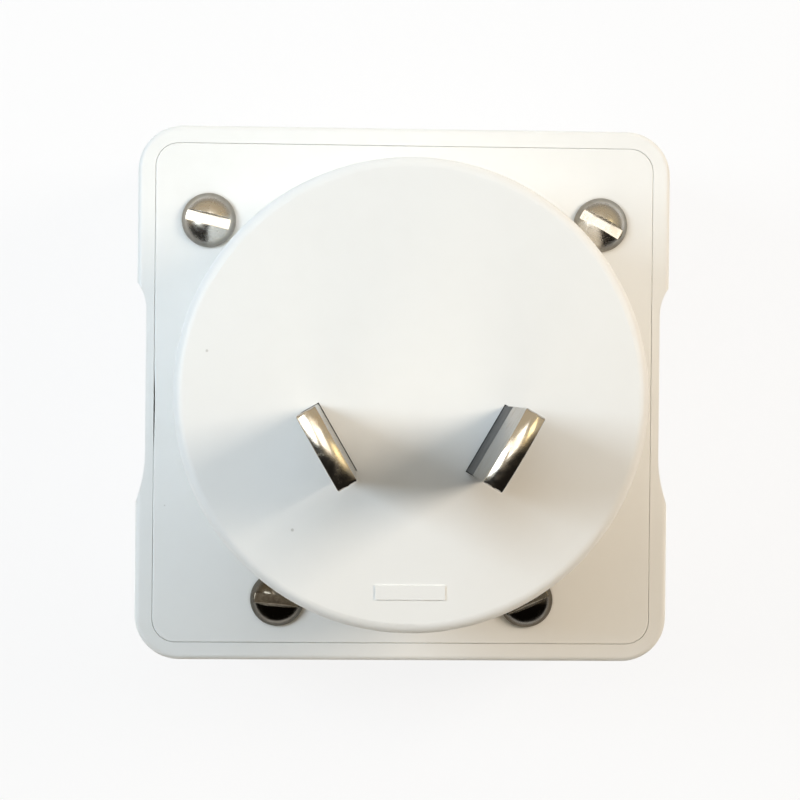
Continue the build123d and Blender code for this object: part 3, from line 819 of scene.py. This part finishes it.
@dataclass
class CoverScrew:
    """A slotted screw of the cover: domed head, flat rim, and a thread in the housing's post."""

    node: str
    slot_turn: float
    tarnish_and_shade: float
    seat: float
    slot_width: float = 0.95 * MM
    slot_depth: float = 0.9 * MM
    slot_edge: float = 0.07 * MM
    rim: float = 0.35 * MM
    crown: float = 1.75 * MM
    root: float = 1.08 * MM
    thread: float = 1.4 * MM
    pitch: float = 1.0 * MM
    point: float = 1.5 * MM
    plain_neck: float = 1.2 * MM
    thread_fade: float = 0.6 * MM
    thread_sharpness: float = 1.5
    blunt_share: float = 0.02
    lip_overrun: float = 0.2
    last_chord: float = 0.9999
    floor_count: int = 6
    lip_count: int = 12
    across_count: int = 44
    chord_count: int = 60
    under_count: int = 8
    shank_rows: int = 240
    shank_around: int = 40

    def slot_share(self, x: np.ndarray) -> np.ndarray:
        """Return 0 outside the slot and 1 in it, with a rounded lip.

        The lip is a step smoothed over slot_edge.

        Args:
            x: distance across the slot.
        """
        t = np.clip((self.slot_width / 2 + self.slot_edge - np.abs(x)) / self.slot_edge, 0, 1)
        return t * t * (3 - 2 * t)

    def head_height(self, x: np.ndarray, y: np.ndarray, radius: float) -> np.ndarray:
        """Return the head's height above its seat.

        The dome is part of a sphere that meets the rim at its edge: rim + sqrt(R^2 - r^2) - drop.
        Where the slot runs, the height is no more than the slot's floor.

        Args:
            x: distance across the slot.
            y: distance along the slot.
            radius: the head's radius.
        """
        rise = self.crown - self.rim
        sphere = (radius**2 + rise**2) / (2 * rise)
        out = np.minimum(x**2 + y**2, radius**2)
        dome = self.rim + np.sqrt(sphere**2 - out) - (sphere - rise)
        floor = self.crown - self.slot_depth
        return dome - np.maximum(dome - floor, 0) * self.slot_share(x)

    def head(self, radius: float) -> tuple[np.ndarray, int]:
        """Return the head's closed rings, one per distance x across the slot, and their length.

        A ring goes up the rim, over the top along the chord y = sqrt(R^2 - x^2), down the rim and
        back underneath. The distances x crowd together at the slot's walls. The last one stays
        just inside the rim, where the chord still has a length.

        Args:
            radius: the head's radius.
        """
        over = np.linspace(-self.lip_overrun, 1 + self.lip_overrun, self.lip_count)
        lip = self.slot_width / 2 + over * self.slot_edge
        swing = np.linspace(math.asin(lip[-1] / radius), math.pi / 2, self.across_count)
        outside = radius * np.sin(swing)
        inside = np.linspace(0, lip[0], self.floor_count)[:-1]
        positive = np.concatenate([inside, lip, outside[1:-1], [radius * self.last_chord]])
        x = np.concatenate([-positive[:0:-1], positive])[:, None]
        v = np.sin(np.linspace(-math.pi / 2, math.pi / 2, self.chord_count))[None, :]
        chord = np.sqrt(radius**2 - x**2)
        y = chord * v
        top = self.head_height(x + 0 * y, y, radius)
        side_y = -chord * np.ones((1, 2))
        side_z = np.ones_like(x) * np.array([0.0, self.rim / 2])
        under_y = chord * np.linspace(1, -1, self.under_count)[None, 1:-1]
        ring_y = np.concatenate([side_y, y, -side_y, under_y], axis=1)
        ring_z = np.concatenate([side_z, top, side_z[:, ::-1], 0 * under_y], axis=1)
        ring_x = x + 0 * ring_y
        return np.stack([ring_x, ring_y, ring_z + self.seat], axis=-1), ring_y.shape[1]

    def shank(self, end: float) -> tuple[np.ndarray, int]:
        """Return the threaded shank's rings, from its point up into the head.

        The radius is root + depth * (1 - |saw|)^thread_sharpness, where saw runs from -1 to 1 over
        a pitch of the helix z / pitch - turn, and a cone narrows it at the point.

        Args:
            end: height of the point.
        """
        z = np.linspace(end, self.seat + self.rim / 2, self.shank_rows)[:, None]
        turn = np.linspace(0, 2 * math.pi, self.shank_around, endpoint=False)[None, :]
        phase = (z - end) / self.pitch - turn / (2 * math.pi)
        saw = 2 * np.abs(phase - np.round(phase))
        fade = np.clip((self.seat - self.plain_neck - z) / self.thread_fade, 0, 1)
        radius = self.root + (self.thread - self.root) * fade * (1 - saw) ** self.thread_sharpness
        cone = np.clip((z - end) / self.point, self.blunt_share, 1)
        radius = np.minimum(radius, self.thread * cone)
        points = np.stack([radius * np.cos(turn), radius * np.sin(turn), z + 0 * turn], axis=-1)
        return points, points.shape[1]

    def build(self) -> bpy.types.Object:
        """Join the head and the shank in one mesh, turned to the slot's angle and put in place."""
        head, head_around = self.head(plan_radius(self.node))
        shank, shank_around = self.shank(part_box(self.node)[0].z)
        head_points = head.reshape(-1, 3)
        points = np.concatenate([head_points, shank.reshape(-1, 3)])
        quarter = self.slot_turn - math.pi / 2
        cos, sin = math.cos(quarter), math.sin(quarter)
        turned = points @ np.array([[cos, sin, 0], [-sin, cos, 0], [0, 0, 1]])
        turned += np.array(middle(self.node, 0.0))
        faces = [face[::-1] for face in Surface.tube_faces(len(head), head_around)]
        faces += Surface.tube_faces(len(shank), shank_around, len(head_points))
        return Surface.piece(f"{self.node}_plated", turned, faces)

    def finish(self, plate: NickelPlate) -> bpy.types.Object:
        """Build the screw, plate it and put it in its node's place.

        Args:
            plate: the plating.
        """
        centre, radius = middle(self.node, self.seat), plan_radius(self.node)
        floor = self.seat + self.crown - self.slot_depth
        made = self.build()
        made.data.materials.append(plate.screw(made.name, centre, radius, floor, self.tarnish_and_shade))
        return settle(made, self.node)


@dataclass
class ShutterSpring:
    """The compression spring behind the shutter, with closed end coils."""

    node: str = "shutter_spring"
    wire: float = 0.3 * MM
    turns: float = 11.0
    closed_turns: float = 1.0
    steps_per_turn: int = 28
    around: int = 10

    def centre_line(self) -> np.ndarray:
        """Return the wire's middle as rows of x, y, z.

        It is a helix about the Y axis. The advance per turn is one wire in the closed coils at
        the ends, and the rest of the length is shared by the open ones.
        """
        low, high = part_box(self.node)
        radius = (high.x - low.x - self.wire) / 2
        centre_x, centre_z = (low.x + high.x) / 2, (low.z + high.z) / 2
        turn = np.linspace(0, self.turns, int(self.turns * self.steps_per_turn) + 1)
        length = high.y - low.y - self.wire
        open_turns = self.turns - 2 * self.closed_turns
        open_pitch = (length - 2 * self.closed_turns * self.wire) / open_turns
        near_end = np.minimum(turn, self.turns - turn) < self.closed_turns
        advance = np.where(near_end, self.wire, open_pitch)
        y = np.concatenate([[0], np.cumsum((advance[1:] + advance[:-1]) / 2 * np.diff(turn))])
        y = low.y + self.wire / 2 + y * length / y[-1]
        angle = 2 * math.pi * turn
        x, z = centre_x + radius * np.cos(angle), centre_z + radius * np.sin(angle)
        return np.stack([x, y, z], axis=-1)

    def build(self) -> bpy.types.Object:
        """Carry a circle along the centre line.

        A point is line + r * (cos * normal + sin * binormal).
        """
        line = self.centre_line()
        tangent = np.gradient(line, axis=0)
        tangent /= np.linalg.norm(tangent, axis=1, keepdims=True)
        outward = line - np.array([line[:, 0].mean(), 0, line[:, 2].mean()])
        outward[:, 1] = 0
        normal = outward - (outward * tangent).sum(axis=1, keepdims=True) * tangent
        normal /= np.linalg.norm(normal, axis=1, keepdims=True)
        binormal = np.cross(tangent, normal)
        angle = np.linspace(0, 2 * math.pi, self.around, endpoint=False)
        cos, sin = np.cos(angle)[:, None], np.sin(angle)[:, None]
        circle = cos * normal[:, None, :] + sin * binormal[:, None, :]
        points = line[:, None, :] + self.wire / 2 * circle
        faces = Surface.tube_faces(len(line), self.around)
        return Surface.piece(f"{self.node}_wire", points.reshape(-1, 3), faces)

    def finish(self, steel: SheetMetal) -> bpy.types.Object:
        """Build the spring, give it its finish, and hide its node.

        Args:
            steel: the wire's finish.
        """
        low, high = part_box(self.node)
        made = self.build()
        made.data.materials.append(steel.material(made.name))
        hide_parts(self.node)
        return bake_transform(made)


def settle(made: bpy.types.Object, node: str) -> bpy.types.Object:
    """Let a new piece stand for a node, on the node's body.

    Args:
        made: the piece.
        node: the node that it stands for.
    """
    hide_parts(node)
    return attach(made, frame["nodes"][node]["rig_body"])


def dress(node: str, material: bpy.types.Material) -> None:
    """Give a node of the frame its finish.

    Args:
        node: the node's name.
        material: the finish.
    """
    slots = frame["nodes"][node].material_slots
    for slot in slots:
        slot.material = material
    log.info("finished %s, %d slot(s)", node, len(slots))


@dataclass
class Mouldings:
    """The plastic pieces: housing, cover, shutter, contact carrier and pin retainer."""

    plastic: MouldedPlastic
    shutter_plastic: MouldedPlastic
    filled: FilledPlastic
    screw_nodes: tuple[str, ...]
    boss_radius: float = 19.8 * MM
    boss_painted_shade: float = 0.35 * MM
    screw_grime: float = 0.3 * MM

    def shade_and_grime_rings(self) -> tuple[tuple[Place, float, float], ...]:
        """Return the darkened rings: painted shade round the boss's foot, and a grimy ring round
        each screw head.
        """
        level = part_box("socket_housing")[1].z
        rings = (
            (middle(node, level), plan_radius(node), self.screw_grime) for node in self.screw_nodes
        )
        # The ring at the boss's foot is painted shade, where the boss meets the plate.
        return ((middle("plug_cover", level), self.boss_radius, self.boss_painted_shade), *rings)

    def finish(self) -> None:
        """Give each moulding its finish."""
        low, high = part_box("socket_housing")
        housing = self.plastic.material("housing_white", parting_height=(low.z + high.z) / 2)
        dress("socket_housing", housing)
        dress("plug_cover", self.plastic.material("cover_white", rings=self.shade_and_grime_rings()))
        dress("shutter", self.shutter_plastic.material("shutter_white"))
        dress("contact_carrier", self.filled.material("carrier_filled"))
        dress("pin_retainer", self.filled.material("retainer_filled"))


@dataclass
class Contacts:
    """The metal inside: contacts, clips, links, rivets and the retainer's screws."""

    brass: SheetMetal
    steel: SheetMetal

    def finish(self) -> None:
        """Give each inner metal piece its finish."""
        for side in ("live", "neutral"):
            for kind in ("contact", "link", "rivet"):
                dress(f"{side}_{kind}", self.brass.material(f"{side}_{kind}_brass"))
            dress(f"{side}_grip_clip", self.steel.material(f"{side}_clip_steel"))
        for number in (1, 2):
            dress(f"retainer_screw_{number}", self.steel.material(f"retainer_screw_{number}_steel"))


@dataclass
class SoftLamp:
    """A square soft lamp that faces the boss.

    Its power makes a level white surface under it send back the share of full white that is
    asked for: power = pi^2 * distance^2 * share / sin(height above the horizon).
    """

    name: str
    azimuth: float
    height: float
    distance: float
    size: float
    share: float
    colour: Colour
    shines: bool = True
    lights: bool = True

    def build(self, target: Vector) -> bpy.types.Object:
        """Make the lamp.

        Args:
            target: the point that it faces.
        """
        azimuth, height = math.radians(self.azimuth), math.radians(self.height)
        level = math.cos(height)
        back = Vector((math.cos(azimuth) * level, math.sin(azimuth) * level, math.sin(height)))
        lamp = bpy.data.lights.new(self.name, "AREA")
        lamp.shape = "SQUARE"
        lamp.size = self.size
        lamp.color = self.colour
        lamp.energy = math.pi**2 * self.distance**2 * self.share / math.sin(height)
        made = bpy.data.objects.new(self.name, lamp)
        made.location = target + back * self.distance
        made.rotation_euler = back.to_track_quat("Z", "Y").to_euler()
        made.visible_camera = False
        made.visible_glossy = self.shines
        made.visible_diffuse = self.lights
        bpy.context.scene.collection.objects.link(made)
        return made


@dataclass
class Studio:
    """Pale floor, pale surroundings and soft lamps at a plain level."""

    lamps: tuple[SoftLamp, ...]
    floor_size: float = 4.0
    floor_drop: float = 0.05 * MM
    floor_glow: float = 0.86
    horizon: Colour = (0.3, 0.27, 0.22)
    ceiling: Colour = (0.53, 0.44, 0.31)
    behind: Colour = (0.012, 0.01, 0.008)
    under: Colour = (0.72, 0.72, 0.71)
    backdrop: Colour = (1.0, 1.0, 1.0)
    forward_fade: Span = (-0.28, 0.06)
    ceiling_fade: Span = (0.15, 0.4)
    under_fade: Span = (-0.04, -0.12)
    floor_pale: Colour = (0.84, 0.84, 0.84)
    floor_mottle: Colour = (0.8, 0.8, 0.8)
    mottle_scale: float = 0.01
    mottle_strength: float = 0.1

    def world(self) -> None:
        """Surround the floor with a pale band, under a ceiling that is dark behind the plug.

        What lies under the floor is pale, and lights only what is seen from below.
        """
        world = bpy.data.worlds.new("studio")
        bpy.context.scene.world = world
        paint = Paint(world)
        toward = paint.node("ShaderNodeTexCoord", {}, {}, "Generated")
        forward = paint.axis(toward, "Y").ramp(*self.forward_fade)
        up = paint.axis(toward, "Z")
        bright = paint.blend(up.ramp(*self.ceiling_fade), self.horizon, self.ceiling)
        colour = paint.blend(forward, self.behind, bright)
        colour = paint.blend(up.ramp(*self.under_fade), colour, self.under)
        camera = paint.node("ShaderNodeLightPath", {}, {}, "Is Camera Ray")
        colour = paint.blend(camera, colour, self.backdrop)
        paint.show(paint.node("ShaderNodeBackground", {}, {"Color": colour, "Strength": 1.0}))

    def floor(self) -> None:
        """Lay a pale floor that shows white, keeps the shadow and is clear from below."""
        half, level = self.floor_size / 2, -self.floor_drop
        signs = ((-1, -1), (1, -1), (1, 1), (-1, 1))
        corners = np.array([(x * half, y * half, level) for x, y in signs])
        sheet = Surface.piece("studio_floor", corners, [(0, 1, 2, 3)])
        paint = Paint.named("floor_white")
        mottled = paint.noise(paint.place, self.mottle_scale, 2.0) * self.mottle_strength
        pale = paint.blend(mottled, self.floor_pale, self.floor_mottle)
        matt = paint.node("ShaderNodeBsdfDiffuse", {}, {"Color": pale})
        white = {"Color": (*self.backdrop, 1.0), "Strength": 1.0}
        glow = paint.node("ShaderNodeEmission", {}, white)
        share = paint.seen() * self.floor_glow
        upper = paint.node("ShaderNodeMixShader", {}, {0: share, 1: matt, 2: glow})
        clear = paint.node("ShaderNodeBsdfTransparent", {}, {})
        below = paint.node("ShaderNodeNewGeometry", {}, {}, "Backfacing")
        paint.show(paint.node("ShaderNodeMixShader", {}, {0: below, 1: upper, 2: clear}))
        sheet.data.materials.append(paint.owner)

    def build(self) -> None:
        """Make the world, the floor and the lamps."""
        self.world()
        self.floor()
        target = Vector((0.0, 0.0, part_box("plug_cover")[1].z))
        for lamp in self.lamps:
            lamp.build(target)
            log.info("lamp %s", lamp.name)


@dataclass
class PhotoCamera:
    """The camera that looks down on the plug as the photograph does."""

    place: Place = (-5.58 * MM, 0.4 * MM, 179.59 * MM)
    lens: float = 75.0
    sensor: float = 36.0
    clip: Span = (0.005, 20.0)
    pitch: float = math.radians(0.328)
    yaw: float = math.radians(1.907)
    roll: float = math.radians(-0.565)

    def build(self) -> bpy.types.Object:
        """Make the camera.

        Its turn is the inverse of roll * pitch * yaw, which take the model to it.
        """
        lens = bpy.data.cameras.new("photo_camera")
        lens.lens = self.lens
        lens.sensor_width = self.sensor
        lens.clip_start, lens.clip_end = self.clip
        made = bpy.data.objects.new("photo_camera", lens)
        turn = (
            Matrix.Rotation(self.roll, 3, "Z")
            @ Matrix.Rotation(self.pitch, 3, "X")
            @ Matrix.Rotation(self.yaw, 3, "Y")
        )
        made.matrix_world = Matrix.Translation(self.place) @ turn.transposed().to_4x4()
        bpy.context.scene.collection.objects.link(made)
        bpy.context.scene.camera = made
        return made


def set_view() -> None:
    """Show colours plainly, as they are written."""
    bpy.context.scene.view_settings.view_transform = "Standard"


def photo_lamps() -> tuple[SoftLamp, ...]:
    """Return the lamps of the photograph: those that light, and those that only show in metal.

    Each has its azimuth and height in degrees, its distance and size in metres, its share and
    its colour.
    """
    return (
        SoftLamp("window_left", 165.0, 40.0, 0.36, 0.12, 0.365, (0.72, 0.86, 1.0), shines=False),
        SoftLamp("lamp_right", 20.0, 36.0, 0.36, 0.12, 0.35, (1.0, 0.87, 0.73), shines=False),
        SoftLamp("top_card", 120.0, 50.0, 0.17, 0.17, 0.2, (0.34, 0.66, 1.0), shines=False),
        SoftLamp("near_card", 258.0, 20.0, 0.3, 0.16, 0.05, (1.0, 0.86, 0.66), shines=False),
        SoftLamp("window_glint", 170.0, 48.0, 0.36, 0.16, 0.3, (0.86, 0.95, 1.0), lights=False),
        SoftLamp("lamp_glint", 15.0, 50.0, 0.36, 0.12, 0.05, (1.0, 0.8, 0.42), lights=False),
        SoftLamp("overhead_card", 100.0, 76.0, 0.48, 0.26, 0.2, (1.0, 0.98, 0.93), lights=False),
    )


def main() -> None:
    """Build the adapter's finishes, its fine pieces, the studio and the camera, in that order."""
    logging.basicConfig(level=logging.INFO, format="%(name)s: %(message)s")
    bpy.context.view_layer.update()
    set_view()
    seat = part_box("socket_housing")[1].z

    nickel = NickelPlate()
    steel = SheetMetal(colour=(0.52, 0.52, 0.52), tarnish_and_shade=(0.3, 0.29, 0.28))
    brass = SheetMetal(colour=(0.8, 0.6, 0.27), tarnish_and_shade=(0.48, 0.32, 0.14))
    shutter_white = MouldedPlastic(colour=(0.8, 0.8, 0.77))
    Mouldings(MouldedPlastic(), shutter_white, FilledPlastic(), tuple(SCREWS)).finish()
    Contacts(brass, steel).finish()
    for node, (slot_turn, tarnish_and_shade) in SCREWS.items():
        made = CoverScrew(node, math.radians(slot_turn), tarnish_and_shade, seat).finish(nickel)
        log.info("made %s", made.name)
    for node, (side, painted_reflection_height) in PINS.items():
        made = FlatPin(node, side, FACE_HEIGHT, painted_reflection_height).finish(nickel)
        log.info("made %s", made.name)
    log.info("made %s", ShutterSpring().finish(steel).name)

    Studio(photo_lamps()).build()
    PhotoCamera().build()


if __name__ == "__main__":
    main()
